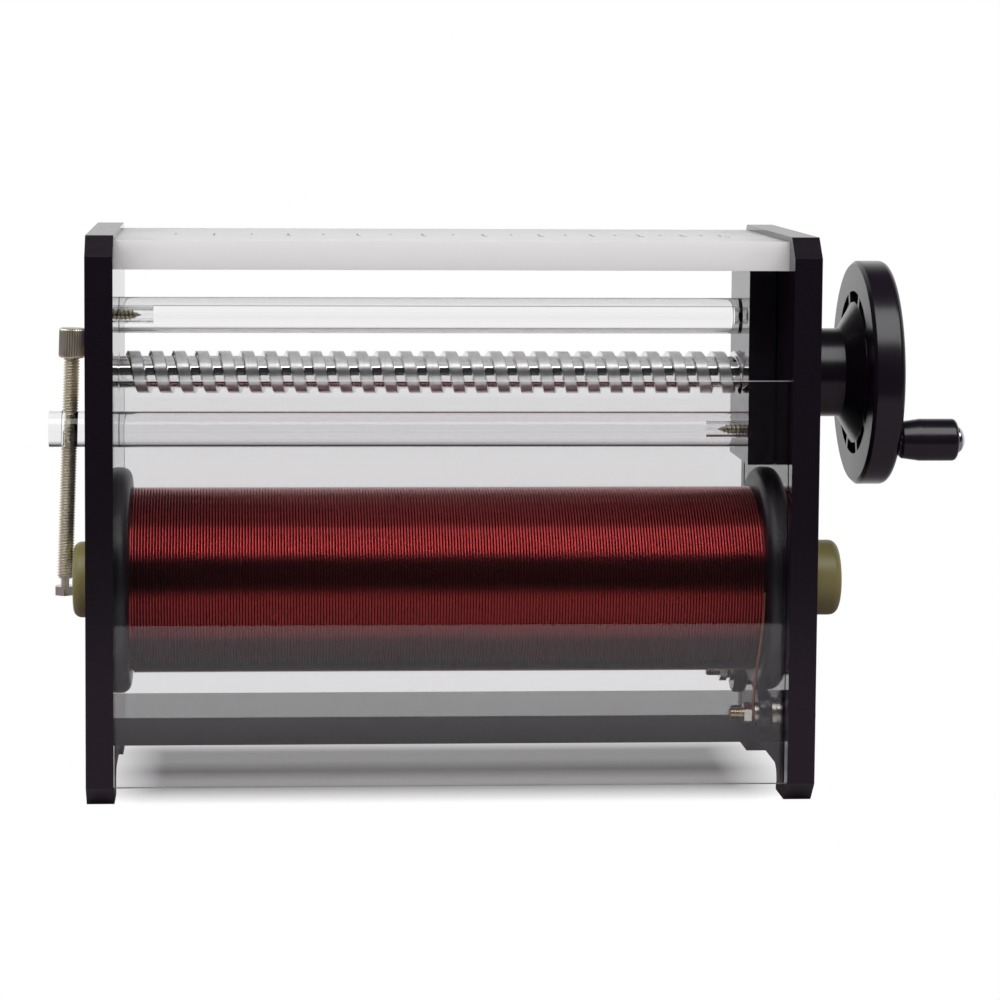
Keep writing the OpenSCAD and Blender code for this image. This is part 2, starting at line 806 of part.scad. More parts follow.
// Hub, conical web and rounded rim
module handwheel() {
    outer = wheel_d / 2;
    inner = outer - rim_t;
    web_r = inner - window_w;
    bevel = 1.2;
    soft = 2.4;
    edge = 0.8;
    hub_r = hub_d / 2;
    bore = journal_d / 2 + seat_fit;
    back = hub_l + dish;
    front = back + rim_w;
    boss_r = (bore + hub_r) / 2;
    color([0.05, 0.045, 0.06])
        difference() {
            revolve_x(hub_x, 0, screw_z, concat(
                [[bore, 0], [hub_r - edge, 0], [hub_r, edge], [hub_r, hub_l], [web_r, back]],
                [[outer - bevel, back], [outer, back + bevel]],
                arc(outer - soft, front - soft, soft, 0, 90),
                [[inner + edge, front], [inner, front - edge], [inner, back + web_t], [web_r, back + web_t]],
                [[boss_r, hub_l + web_t], [boss_r, back + web_t], [bore, back + web_t]]
            ));
            wheel_windows();
            rod_x(rim_x + spindle_floor, rim_front + past, handle_y, handle_z, thread_d + 2 * seat_fit);
            grub_hole();
        }
}

grub_d = 5;
grub_x = hub_x + hub_l / 2;

module grub_hole() {
    translate([grub_x, 0, screw_z]) rotate([-90, 0, 0]) cylinder(h = hub_d, d = grub_d + 2 * seat_fit);
}

module wheel_grub_screw() {
    seat = journal_d / 2 + seat_fit;
    l = hub_d / 2 - seat - 1;
    color([0.2, 0.2, 0.21])
        translate([grub_x, seat, screw_z]) rotate([-90, 0, 0])
            difference() {
                cylinder(h = l, d = grub_d);
                translate([0, 0, l - 2.5]) cylinder(h = 2.5 + past, d = 2.9, $fn = 6);
            }
}

// Sizes that the spindle shares with the grip and the rim
head_depth = 2.6;
head_x = grip_end - head_depth;
thread_d = spindle_d + 1;
spindle_floor = 2;

module handle_spindle() {
    r = spindle_d / 2;
    tip = rim_x + spindle_floor + seat_fit;
    thread_r = thread_d / 2;
    head_r = spindle_head_d / 2;
    color([0.8, 0.82, 0.83])
        revolve_x(0, handle_y, handle_z, [
            [0, tip], [thread_r, tip], [thread_r, rim_front], [r, rim_front], [r, head_x + slide_gap],
            [head_r, head_x + slide_gap],
            for (a = [0 : corner_step : 90]) [head_r * cos(a), grip_end + dome_h * sin(a)]
        ]);
}

module handle_grip() {
    bore = spindle_d / 2 + run_fit;
    head = spindle_head_d / 2 + slide_gap;
    r = grip_d / 2;
    neck = grip_neck_d / 2;
    soft = 1.6;
    color([0.06, 0.05, 0.07])
        revolve_x(0, handle_y, handle_z, concat(
            [[bore, grip_x], [neck - 0.6, grip_x], [neck, grip_x + 0.6], [r, grip_x + grip_l * 0.35]],
            arc(r - soft, grip_end - soft, soft, 0, 90),
            [[head, grip_end], [head, head_x], [bore, head_x]]
        ));
}

// Sets a shape on the carriage's right face, pointing into the push rod
module into_push_rod() {
    translate([carriage_right, 0, push_z]) rotate([0, -90, 0]) children();
}

module carriage_plate() {
    color([0.06, 0.05, 0.07])
        difference() {
            translate([carriage_left, -carriage_w / 2, carriage_z])
                cube([carriage_t, carriage_w, carriage_top - carriage_z]);
            rod_x(carriage_left - past, carriage_right + past, 0, guide_z, rod_d + 2 * run_fit);
            rod_x(carriage_left - past, carriage_right + past, 0, screw_z, nut_bore_d);
            rod_x(nut_x, carriage_right + past, 0, screw_z, nut_d + 2 * seat_fit);
            into_push_rod() wood_hole(carriage_t);
        }
}

// Leaning axis of the adjusting screw, with its origin in the middle of the link nut
module on_arm() {
    translate([link_x, 0, link_z]) rotate([0, arm_lean, 0]) children();
}

module push_rod() {
    color([0.85, 0.87, 0.88, 0.4])
        difference() {
            rod_x(push_left, carriage_left, 0, push_z, rod_d);
            into_push_rod() wood_hole(carriage_t);
            on_arm() cylinder(h = knob_z, d = arm_d + 2 * seat_fit);
        }
}

module push_rod_screw() {
    color([0.75, 0.72, 0.62]) into_push_rod() wood_screw(carriage_t);
}

module adjusting_screw() {
    color([0.66, 0.65, 0.6])
        on_arm()
            rotate_extrude() polygon([
                [0, arm_foot], [neck_d / 2, arm_foot], [neck_d / 2, arm_step], [arm_d / 2, arm_step + 0.4],
                [arm_d / 2, arm_top], [0, arm_top]
            ]);
}

module adjusting_knob() {
    r = knob_d / 2;
    groove = 0.35;
    color([0.55, 0.54, 0.5])
        on_arm()
            translate([0, 0, knob_z])
                difference() {
                    linear_extrude(knob_h)
                        polygon([for (i = [0 : 2 * knurls - 1])
                            (r - (i % 2) * groove) * [cos(180 * i / knurls), sin(180 * i / knurls)]]);
                    translate([0, 0, -past])
                        cylinder(h = knob_h - knob_cap + past, d = arm_d + 2 * seat_fit);
                }
}

module link_nut() {
    color([0.82, 0.8, 0.74])
        translate([link_x, 0, link_z - link_h / 2]) rotate(30)
            hex_nut(link_flats, link_h, neck_d + 4 * seat_fit);
}

stud_l = 9;

module link_stud() {
    color([0.6, 0.5, 0.35]) rod_x(link_x + link_flats / 2, core_left + stud_l, 0, link_z, stud_d);
}

module core_rod() {
    d = ring_bore - 2 * seat_fit;
    color([0.8, 0.8, 0.78])
        difference() {
            rod_x(core_left, core_right - seat_fit, 0, coil_z, d);
            rod_x(core_left - past, core_left + stud_l + seat_fit, 0, link_z, stud_d + 2 * seat_fit);
        }
}

module core_rings() {
    bore = ring_bore / 2;
    r = ring_round;
    outer = ring_d / 2 - r;
    profile = concat(
        [[bore, ring_edge], [bore + ring_edge, 0]],
        arc(outer, r, r, -90, 0),
        arc(outer, ring_l - r, r, 0, 90),
        [[bore + ring_edge, ring_l], [bore, ring_l - ring_edge]]
    );
    color([0.42, 0.38, 0.2])
        for (i = [0 : rings - 1])
            revolve_x(core_left + i * core_pitch, 0, coil_z, profile);
}

module placed() {
    translate([-origin_x, 0, 0]) children();
}

placed() left_plate();
placed() right_plate();
placed() top_plate();
placed() base_bar();
placed() clear_panel(-1);  // front_panel
placed() clear_panel(1);  // back_panel
placed() guide_rod();
placed() guide_rod_screws();
placed() top_plate_screws();
placed() base_bar_screws();
placed() coil_tube();
placed() coil_flange(-1);  // left_flange
placed() coil_flange(1);  // right_flange
placed() winding();
placed() front_lead();
placed() back_lead();
placed() left_bearing();
placed() right_bearing();
placed() terminal_collars();
placed() terminal_sockets();
placed() terminal_spacers();
placed() terminal_bushes();
placed() terminal_washers();
placed() terminal_nuts();
placed() lead_screw();
placed() handwheel();
placed() wheel_grub_screw();
placed() handle_spindle();
placed() handle_grip();
placed() carriage_plate();
placed() lead_nut();
placed() push_rod();
placed() push_rod_screw();
placed() adjusting_screw();
placed() adjusting_knob();
placed() link_nut();
placed() link_stud();
placed() core_rod();
placed() core_rings();
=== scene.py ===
"""Looks of the variable inductor: wire, rims, threads, screw heads, scale, finishes, light and camera."""

import json
import math

import bmesh
import bpy
from mathutils import Matrix, Vector


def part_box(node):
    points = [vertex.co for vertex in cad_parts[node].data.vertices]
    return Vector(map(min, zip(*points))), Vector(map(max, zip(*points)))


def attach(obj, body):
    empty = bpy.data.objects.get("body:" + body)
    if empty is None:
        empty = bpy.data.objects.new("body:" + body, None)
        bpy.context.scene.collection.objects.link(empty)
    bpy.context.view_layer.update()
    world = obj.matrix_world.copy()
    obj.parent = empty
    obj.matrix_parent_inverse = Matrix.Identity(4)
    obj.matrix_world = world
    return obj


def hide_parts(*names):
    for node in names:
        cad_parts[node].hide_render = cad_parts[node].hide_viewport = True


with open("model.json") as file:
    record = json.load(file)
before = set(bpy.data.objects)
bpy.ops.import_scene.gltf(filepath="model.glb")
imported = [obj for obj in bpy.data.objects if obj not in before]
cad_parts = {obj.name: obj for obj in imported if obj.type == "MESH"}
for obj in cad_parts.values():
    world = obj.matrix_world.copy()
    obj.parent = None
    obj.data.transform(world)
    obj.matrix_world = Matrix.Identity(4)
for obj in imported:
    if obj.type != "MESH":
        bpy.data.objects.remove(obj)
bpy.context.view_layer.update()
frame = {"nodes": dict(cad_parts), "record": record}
nodes = frame["nodes"]
scene = bpy.context.scene
MM = 0.001

# Winding and coil former, in millimetres
WIRE_D = 1.04
WIRE_SIDES = 8
WIRE_STEPS = 56
LAYERS_INSET = 0.05
LAYERS_SIDES = 96
FLANGE_SIDES = 128
FLANGE_ROUND = 3.6
FLANGE_ROUND_STEPS = 6

# Lead screw, in millimetres
SCREW_LEAD = 8.0
SCREW_ROOT_D = 11.6
SCREW_CREST_W = 4.4
SCREW_BASE_W = 5.2
SCREW_START = 0.6
SCREW_END_PARTS = 20
SCREW_STEPS = 64
SCREW_SOFT = 0.25
SCREW_SINK = 0.2
JOURNAL_D = 10.0
JOURNAL_BEVEL = 0.5
JOURNAL_GAP = 0.3

# Adjusting screw, in millimetres and degrees
ARM_SIDES = 32
ARM_PITCH = 1.0
ARM_STEPS = 28
ARM_THREAD_W = 0.97
ARM_CREST_W = 0.13
ARM_THREAD_DEPTH = 0.55
ARM_NECK_D = 3.0
ARM_NECK_L = 2.8
ARM_TOP_GAP = 0.1
ARM_LEAN = 1.9
KNOB_KNURLS = 32
KNOB_GROOVE = 0.35
KNOB_ROUND = 1.0
KNOB_ROUND_STEPS = 3
KNOB_CAP = 1.5
KNOB_FIT = 0.05

# Countersunk screws, in millimetres and shares of a size
WOOD_SIDES = 48
WOOD_PITCH = 1.5
WOOD_THREAD_W = 0.8
WOOD_SHANK = 0.5
WOOD_ROOT = 0.74
WOOD_SINK = 0.9
WOOD_HEAD_RIM = 0.3
WOOD_HEAD_EXTRA = 0.7
WOOD_RUNOUT = 1.3
WOOD_TIP = 4.0
WOOD_POINT = 1.2
WOOD_POINT_R = 0.05
WOOD_FADE = 0.85
WOOD_END = 0.01
WOOD_HEAD_SHARE = 0.8
CROSS_ARM = 2.1
CROSS_HALF = 0.55
CROSS_DEPTH = 1.5
CROSS_TAPER = 0.6

# Studs of the terminals, in millimetres
STUD_PITCH = 0.8
STUD_THREAD_W = 0.72
STUD_RISE = 0.14
STUD_TIP = 0.2
STUD_END = 1.0

# All turned pieces and fine threads, in millimetres
AXIS_R = 0.01
FINE_STEPS = 24
FINE_CREST_W = 0.12
FINE_SINK = 0.1
WELD = 0.0001

# Angles up to which a piece's shading is smooth, in degrees
PLAIN_SMOOTH = 35.0
WIRE_SMOOTH = 80.0
SCREW_SMOOTH = 30.0
ARM_SMOOTH = 40.0

# Scale on the top plate, in millimetres
SCALE_FIRST = 20.0
SCALE_STEP = 13.6
SCALE_STEP_LOSS = 0.38
SCALE_MARKS = 20
SCALE_LONG = 9.0
SCALE_SHORT = 5.0
SCALE_LINE = 0.7
SCALE_DEEP = 0.12
SCALE_PROUD = 0.02
DIGIT_H = 5.0
DIGIT_GAP = 2.0

# Relief of the finishes, in millimetres, and noise scales per metre along X, Y and Z
RELIEF = 0.03
NOISE_DETAIL = 4.0
PLAIN = (60.0, 60.0, 60.0)
FINE = (300.0, 300.0, 300.0)
COATED = (120.0, 120.0, 120.0)
SMOOTH = (25.0, 25.0, 25.0)
CAST = (15.0, 15.0, 15.0)
WOUND = (12.0, 90.0, 90.0)
TURNED_X = (1800.0, 40.0, 40.0)
LATHE_X = (4500.0, 30.0, 30.0)
SAWN_ALONG = 30.0
SAWN_ACROSS = 1400.0
SAWN_RELIEF = 0.04
SAWN_STRENGTH = 0.35
EDGE_SAMPLES = 4
EDGE_TURN = 0.7
EDGE_CLEAR = 0.35
CREST_BAND = 0.4
CREST_ROUGH = (0.24, 0.42)
CREST_STRENGTH = (0.05, 0.3)
CLEAR = {"Transmission_Weight": 1.0, "IOR": 1.49}


# Shader nodes


def add(tree, kind, inputs=None, **settings):
    """Adds a shader node: an input that is another node's output is linked, and any other is set."""
    made = tree.nodes.new("ShaderNode" + kind)
    for key, value in settings.items():
        setattr(made, key, value)
    for key, value in (inputs or {}).items():
        if isinstance(value, bpy.types.NodeSocket):
            tree.links.new(value, made.inputs[key])
        else:
            made.inputs[key].default_value = value
    return made


def noise(tree, scale):
    """Noise in the object's own place, with a scale per metre along X, Y and Z."""
    where = add(tree, "TexCoord")
    spread = add(tree, "Mapping", {"Vector": where.outputs["Object"], "Scale": scale})
    grain = add(tree, "TexNoise", {"Vector": spread.outputs["Vector"], "Scale": 1.0, "Detail": NOISE_DETAIL})
    return grain.outputs["Fac"]


def between(tree, value, low, high, start=0.0, end=1.0):
    """Number that goes from low to high while a value goes from start to end."""
    ramp = add(tree, "MapRange", {
        "Value": value, "From Min": start, "From Max": end, "To Min": low, "To Max": high,
    })
    return ramp.outputs["Result"]


def reckon(tree, operation, *values):
    """Result of an operation on numbers."""
    return add(tree, "Math", dict(enumerate(values)), operation=operation).outputs["Value"]


def reckon_vector(tree, operation, *values):
    """Result of an operation on vectors."""
    made = add(tree, "VectorMath", dict(enumerate(values)), operation=operation)
    return made.outputs["Value" if operation == "LENGTH" else "Vector"]


def tone(tree, share, dark, light):
    """Colour between dark and light."""
    mix = add(tree, "Mix", {"Factor": share}, data_type="RGBA")
    mix.inputs["A"].default_value = (*dark, 1.0)
    mix.inputs["B"].default_value = (*light, 1.0)
    return mix.outputs["Result"]


def finish(name, dark, light, rough, grain=PLAIN, bump=0.0, edge=0.0, **sockets):
    """Material that drifts with one noise in colour, roughness and relief; edge rounds corners, in mm."""
    mat = bpy.data.materials.new(name)
    mat.use_nodes = True
    tree = mat.node_tree
    body = tree.nodes["Principled BSDF"]
    drift = noise(tree, grain)
    tree.links.new(tone(tree, drift, dark, light), body.inputs["Base Color"])
    tree.links.new(between(tree, drift, *rough), body.inputs["Roughness"])
    if edge:
        normal = add(tree, "Bevel", {"Radius": edge * MM}, samples=EDGE_SAMPLES).outputs["Normal"]
        tree.links.new(normal, body.inputs["Normal"])
    if bump:
        rise = add(tree, "Bump", {"Strength": bump, "Distance": RELIEF * MM, "Height": drift})
        if edge:
            tree.links.new(normal, rise.inputs["Normal"])
        tree.links.new(rise.outputs["Normal"], body.inputs["Normal"])
    for socket, value in sockets.items():
        body.inputs[socket.replace("_", " ")].default_value = value
    return mat


def sheet(name, axis, dark, light, face_rough, edge_rough, **sockets):
    """Sheet with polished faces square to an axis, 0 to 2, and sawn, less clear edges with lines across."""
    mat = finish(name, dark, light, face_rough, SMOOTH, **sockets)
    tree = mat.node_tree
    body = tree.nodes["Principled BSDF"]
    where = add(tree, "TexCoord")
    split = add(tree, "SeparateXYZ", {"Vector": where.outputs["Normal"]})
    on_edge = reckon(tree, "LESS_THAN", reckon(tree, "ABSOLUTE", split.outputs[axis]), EDGE_TURN)
    lines = noise(tree, [SAWN_ALONG if i == axis else SAWN_ACROSS for i in range(3)])
    face = body.inputs["Roughness"].links[0].from_socket
    sawn = between(tree, lines, *edge_rough)
    tree.links.new(between(tree, on_edge, face, sawn), body.inputs["Roughness"])
    for socket in ("Transmission Weight", "Subsurface Weight"):
        weight = body.inputs[socket]
        full = weight.default_value
        tree.links.new(between(tree, on_edge, full, full * EDGE_CLEAR), weight)
    strength = between(tree, on_edge, 0.0, SAWN_STRENGTH)
    rise = add(tree, "Bump", {"Strength": strength, "Distance": SAWN_RELIEF * MM, "Height": lines})
    tree.links.new(rise.outputs["Normal"], body.inputs["Normal"])
    return mat


# Finishes, one for each material slot


def black_sheet(axis):
    """Polished black plastic."""
    return sheet(
        "black_sheet", axis, (0.007, 0.004, 0.008), (0.010, 0.006, 0.0115), (0.02, 0.05), (0.18, 0.28)
    )


def clear_sheet(axis):
    """Clear plastic with a faint grey tint."""
    return sheet(
        "clear_sheet", axis, (0.875, 0.87, 0.878), (0.89, 0.885, 0.893), (0.0, 0.008), (0.16, 0.24), **CLEAR
    )


def frosted_sheet(axis):
    """Milky plastic with a satin face."""
    return sheet(
        "frosted_sheet", axis, (0.97, 0.96, 0.96), (0.985, 0.975, 0.975), (0.29, 0.33), (0.4, 0.5),
        IOR=1.49, Subsurface_Weight=0.9, Subsurface_Radius=(1.0, 1.0, 1.0), Subsurface_Scale=0.1,
    )


def turned_steel():
    """Steel with a bright groove and a duller crest that shows the lines of the lathe."""
    mat = finish(
        "turned_steel", (0.68, 0.68, 0.68), (0.85, 0.85, 0.85), (0.05, 0.12), TURNED_X, Metallic=1.0
    )
    tree = mat.node_tree
    body = tree.nodes["Principled BSDF"]
    low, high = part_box("lead_screw")
    middle = (low + high) / 2
    crest = (high.z - low.z) / 2
    where = add(tree, "TexCoord")
    off = reckon_vector(tree, "SUBTRACT", where.outputs["Object"], middle)
    reach = reckon_vector(tree, "LENGTH", reckon_vector(tree, "MULTIPLY", off, (0.0, 1.0, 1.0)))
    on_crest = reckon(tree, "GREATER_THAN", reach, crest - CREST_BAND * MM)
    lines = noise(tree, LATHE_X)
    groove_rough = body.inputs["Roughness"].links[0].from_socket
    crest_rough = between(tree, lines, *CREST_ROUGH)
    tree.links.new(between(tree, on_crest, groove_rough, crest_rough), body.inputs["Roughness"])
    strength = between(tree, on_crest, *CREST_STRENGTH)
    rise = add(tree, "Bump", {"Strength": strength, "Distance": RELIEF * MM, "Height": lines})
    tree.links.new(rise.outputs["Normal"], body.inputs["Normal"])
    return mat


SHEETS = {"black_sheet": black_sheet, "clear_sheet": clear_sheet, "frosted_sheet": frosted_sheet}
LOOKS = {
    "clear_rod": finish(
        "clear_rod", (0.915, 0.91, 0.915), (0.935, 0.93, 0.935), (0.0, 0.012), CAST, **CLEAR
    ),
    "plated_screw": finish(
        "plated_screw", (0.4, 0.36, 0.24), (0.58, 0.53, 0.38), (0.24, 0.4), FINE, Metallic=1.0
    ),
    "former_black": finish(
        "former_black", (0.009, 0.006, 0.011), (0.013, 0.009, 0.016), (0.32, 0.44), bump=0.1
    ),
    "enamelled_wire": finish(
        "enamelled_wire", (0.225, 0.027, 0.028), (0.31, 0.04, 0.041), (0.16, 0.23), WOUND, Metallic=1.0
    ),
    "lead_wire": finish(
        "lead_wire", (0.2, 0.06, 0.03), (0.32, 0.11, 0.055), (0.25, 0.4), FINE, Metallic=0.8
    ),
    "bronze": finish("bronze", (0.36, 0.24, 0.10), (0.5, 0.34, 0.15), (0.25, 0.4), FINE, Metallic=1.0),
    "terminal_black": finish(
        "terminal_black", (0.005, 0.0035, 0.006), (0.009, 0.007, 0.011), (0.16, 0.28), bump=0.1, edge=0.2
    ),
    "terminal_brass": finish(
        "terminal_brass", (0.4, 0.33, 0.19), (0.53, 0.45, 0.29), (0.2, 0.34), TURNED_X, Metallic=1.0
    ),
    "plated_steel": finish(
        "plated_steel", (0.6, 0.57, 0.5), (0.76, 0.73, 0.66), (0.2, 0.34), FINE, edge=0.15, Metallic=1.0
    ),
    "turned_steel": turned_steel(),
    "wheel_black": finish(
        "wheel_black", (0.008, 0.005, 0.0095), (0.012, 0.008, 0.014), (0.2, 0.27), bump=0.06, edge=0.35
    ),
    "dark_steel": finish(
        "dark_steel", (0.04, 0.04, 0.045), (0.07, 0.07, 0.075), (0.3, 0.45), FINE, Metallic=1.0
    ),
    "handle_chrome": finish(
        "handle_chrome", (0.46, 0.48, 0.52), (0.56, 0.58, 0.62), (0.08, 0.16), FINE, Metallic=1.0
    ),
    "nickel_steel": finish(
        "nickel_steel", (0.8, 0.76, 0.62), (0.95, 0.92, 0.79), (0.33, 0.46), FINE, bump=0.2, Metallic=1.0
    ),
    "core_support": finish("core_support", (0.5, 0.5, 0.48), (0.6, 0.6, 0.58), (0.4, 0.55), FINE),
    "core_coating": finish(
        "core_coating", (0.215, 0.185, 0.05), (0.33, 0.29, 0.115), (0.34, 0.48), COATED, bump=0.4
    ),
    "scale_ink": finish("scale_ink", (0.2, 0.2, 0.205), (0.3, 0.3, 0.305), (0.5, 0.6), FINE),
}


def thin_axis(node):
    """Axis, 0 to 2, along which a node is thinnest."""
    low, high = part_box(node)
    sides = list(high - low)
    return sides.index(min(sides))


for part in frame["record"]["subparts"]:
    part_slot = part["material_slot"]
    mesh = nodes[part["node"]].data
    mesh.materials.clear()
    if part_slot in SHEETS:
        mesh.materials.append(SHEETS[part_slot](thin_axis(part["node"])))
    else:
        mesh.materials.append(LOOKS[part_slot])


# Meshes


class Shape:
    """Points and faces of one piece, in millimetres, gathered from closed solids."""

    def __init__(self):
        self.points = []
        self.faces = []

    def add(self, rings, closed=False):
        """Skins a row of point rings, and caps both ends or joins the last ring to the first."""
        n = len(rings[0])
        starts = [len(self.points) + i * n for i in range(len(rings))]
        for ring in rings:
            self.points += ring
        pairs = list(zip(starts, starts[1:]))
        if closed:
            pairs.append((starts[-1], starts[0]))
        else:
            self.faces.append(tuple(range(starts[0] + n - 1, starts[0] - 1, -1)))
            self.faces.append(tuple(range(starts[-1], starts[-1] + n)))
        for a, b in pairs:
            for k in range(n):
                self.faces.append((a + k, a + (k + 1) % n, b + (k + 1) % n, b + k))

    def turned(self, profile, sides, closed=False):
        """Solid of revolution about +Z, or a ring if closed: profile points are radius and height."""
        self.add([circle(r, h, sides) for r, h in profile], closed)

    def ridge(self, start, pitch, turns, steps, section, shrink=None):
        """Thread ridge about +Z: section points are height along the axis and radius."""
        rings = []
        count = round(turns * steps)
        for i in range(count + 1):
            a = 2 * math.pi * i / steps
            h = start + pitch * i / steps
            scale = shrink(i / count) if shrink else 1.0
            rings.append(
                [Vector((r * scale * math.cos(a), r * scale * math.sin(a), h + x)) for x, r in section]
            )
        self.add(rings)

    def box(self, low, high):
        """Box between two corners."""
        (x0, y0, z0), (x1, y1, z1) = low, high
        outline = [(x0, y0), (x1, y0), (x1, y1), (x0, y1)]
        self.add([[Vector((x, y, z)) for x, y in outline] for z in (z0, z1)])

    def join(self, other, place):
        """Takes in another shape, moved to its place."""
        first = len(self.points)
        self.points += [place @ p for p in other.points]
        self.faces += [tuple(first + i for i in face) for face in other.faces]

    def piece(self, name, body, slot, replaces=(), smooth=PLAIN_SMOOTH):
        """Makes the object, in metres, that moves with a body."""
        mesh = bpy.data.meshes.new(name)
        mesh.from_pydata([p * MM for p in self.points], [], self.faces)
        work = bmesh.new()
        work.from_mesh(mesh)
        bmesh.ops.recalc_face_normals(work, faces=work.faces)
        work.to_mesh(mesh)
        work.free()
        for face in mesh.polygons:
            face.use_smooth = True
        mesh.set_sharp_from_angle(angle=math.radians(smooth))
        mesh.materials.append(LOOKS[slot])
        obj = bpy.data.objects.new(name, mesh)
        scene.collection.objects.link(obj)
        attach(obj, body)
        if replaces:
            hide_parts(*replaces)


def circle(r, h, sides):
    """Ring of points about +Z."""
    turn = [2 * math.pi * k / sides for k in range(sides)]
    return [Vector((r * math.cos(a), r * math.sin(a), h)) for a in turn]


def cross(arm, half, h, sides):
    """Ring of points on the outline of a cross, with arms of that length and half width, about +Z."""
    ring = []
    for k in range(sides):
        a = 2 * math.pi * k / sides
        off = abs((a + math.pi / 4) % (math.pi / 2) - math.pi / 4)
        r = min(arm / math.cos(off), half / max(math.sin(off), half / (2 * arm)))
        ring.append(Vector((r * math.cos(a), r * math.sin(a), h)))
    return ring


def rounding(r, steps):
    """Quarter circle from a side to an end: each point's distance in from the side and back from the end."""
    turn = [math.pi / 2 * k / steps for k in range(steps + 1)]
    return [(r * (1 - math.cos(a)), r * (1 - math.sin(a))) for a in turn]


def fine_thread(width, low_r, high_r, crest=FINE_CREST_W):
    """Section of a fine thread's ridge, with a narrow crest."""
    rise = (width - crest) / 2
    return [(0.0, low_r), (rise, high_r), (rise + crest, high_r), (width, low_r)]


def corners(node):
    """A node's lowest and highest corner in millimetres."""
    low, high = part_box(node)
    return low / MM, high / MM


def along_x(x, y, z, heading=1):
    """Place that turns +Z into +X, or into -X with a heading of -1."""
    turn = Matrix(((0, 0, heading, 0), (heading, 0, 0, 0), (0, 1, 0, 0), (0, 0, 0, 1)))
    return Matrix.Translation((x, y, z)) @ turn


def solids(node):
    """The points of each separate solid in a node, in millimetres."""
    work = bmesh.new()
    work.from_mesh(nodes[node].data)
    bmesh.ops.remove_doubles(work, verts=work.verts, dist=WELD * MM)
    found = []
    left = set(work.verts)
    for start in list(work.verts):
        if start not in left:
            continue
        left.remove(start)
        island = [start]
        for vert in island:
            for edge in vert.link_edges:
                other = edge.other_vert(vert)
                if other in left:
                    left.remove(other)
                    island.append(other)
        found.append([v.co / MM for v in island])
    work.free()
    return found


def extent(points):
    """Lowest and highest corner of some points."""
    low = Vector([min(p[i] for p in points) for i in range(3)])
    high = Vector([max(p[i] for p in points) for i in range(3)])
    return low, high


# Winding: the outer layer is one real wire, on a tube that stands for the layers under it
low, high = corners("winding")
middle = (low + high) / 2
coil_r = (high.z - low.z) / 2
coil_l = high.x - low.x
wire_r = WIRE_D / 2
wire_pitch = coil_l / math.floor(coil_l / WIRE_D)
wire_section = []
for k in range(WIRE_SIDES):
    a = 2 * math.pi * k / WIRE_SIDES
    wire_section.append((wire_r * math.sin(a), coil_r - wire_r + wire_r * math.cos(a)))
layers_r = coil_r - WIRE_D
layers_end = coil_l - LAYERS_INSET
tube_r = corners("coil_tube")[1].z - middle.z
layers = [(tube_r, LAYERS_INSET), (layers_r, LAYERS_INSET), (layers_r, layers_end), (tube_r, layers_end)]
coil = Shape()
coil.ridge(wire_r, wire_pitch, (coil_l - WIRE_D) / wire_pitch, WIRE_STEPS, wire_section)
coil.turned(layers, LAYERS_SIDES, closed=True)
wire = Shape()
wire.join(coil, along_x(low.x, middle.y, middle.z))
wire.piece("wire_turns", "frame", "enamelled_wire", ["winding"], WIRE_SMOOTH)

# Flanges of the coil former: flat on the end plate, with the rim rounded towards the winding
for flange_node, heading in (("left_flange", 1), ("right_flange", -1)):
    low, high = corners(flange_node)
    middle = (low + high) / 2
    rim_r = (high.z - low.z) / 2
    flange_t = high.x - low.x
    rim = [(rim_r - inset, flange_t - back) for inset, back in rounding(FLANGE_ROUND, FLANGE_ROUND_STEPS)]
    disc = Shape()
    disc.turned([(tube_r, 0.0), (rim_r, 0.0), *rim, (tube_r, flange_t)], FLANGE_SIDES, closed=True)
    flange = Shape()
    flange.join(disc, along_x(low.x if heading > 0 else high.x, middle.y, middle.z, heading))
    flange.piece(flange_node + "_rim", "frame", "former_black", [flange_node])

# Lead screw: the same thread as the solid, with a finer turn
low, high = corners("lead_screw")
middle = (low + high) / 2
crest_r = (high.z - low.z) / 2
root_r = SCREW_ROOT_D / 2
journal_r = JOURNAL_D / 2
root_left = corners("left_plate")[1].x + JOURNAL_GAP
root_right = corners("right_plate")[0].x - JOURNAL_GAP
thread_left = root_left - JOURNAL_GAP + SCREW_START
thread_room = root_right - JOURNAL_GAP - SCREW_BASE_W - thread_left
thread_turns = math.floor(thread_room / SCREW_LEAD * SCREW_END_PARTS) / SCREW_END_PARTS
flank = (SCREW_BASE_W - SCREW_CREST_W) / 2
screw = Shape()
screw.turned([
    (AXIS_R, low.x),
    (journal_r - JOURNAL_BEVEL, low.x),
    (journal_r, low.x + JOURNAL_BEVEL),
    (journal_r, root_left),
    (root_r, root_left),
    (root_r, root_right),
    (journal_r, root_right),
    (journal_r, high.x),
    (AXIS_R, high.x),
], SCREW_STEPS)
screw.ridge(thread_left, SCREW_LEAD, thread_turns, SCREW_STEPS, [
    (0.0, root_r - SCREW_SINK),
    (0.0, root_r),
    (flank, crest_r - SCREW_SOFT),
    (flank + SCREW_SOFT, crest_r),
    (SCREW_BASE_W - flank - SCREW_SOFT, crest_r),
    (SCREW_BASE_W - flank, crest_r - SCREW_SOFT),
    (SCREW_BASE_W, root_r),
    (SCREW_BASE_W, root_r - SCREW_SINK),
])
thread = Shape()
thread.join(screw, along_x(0.0, middle.y, middle.z))
thread.piece("lead_screw_thread", "drive", "turned_steel", ["lead_screw"], SCREW_SMOOTH)

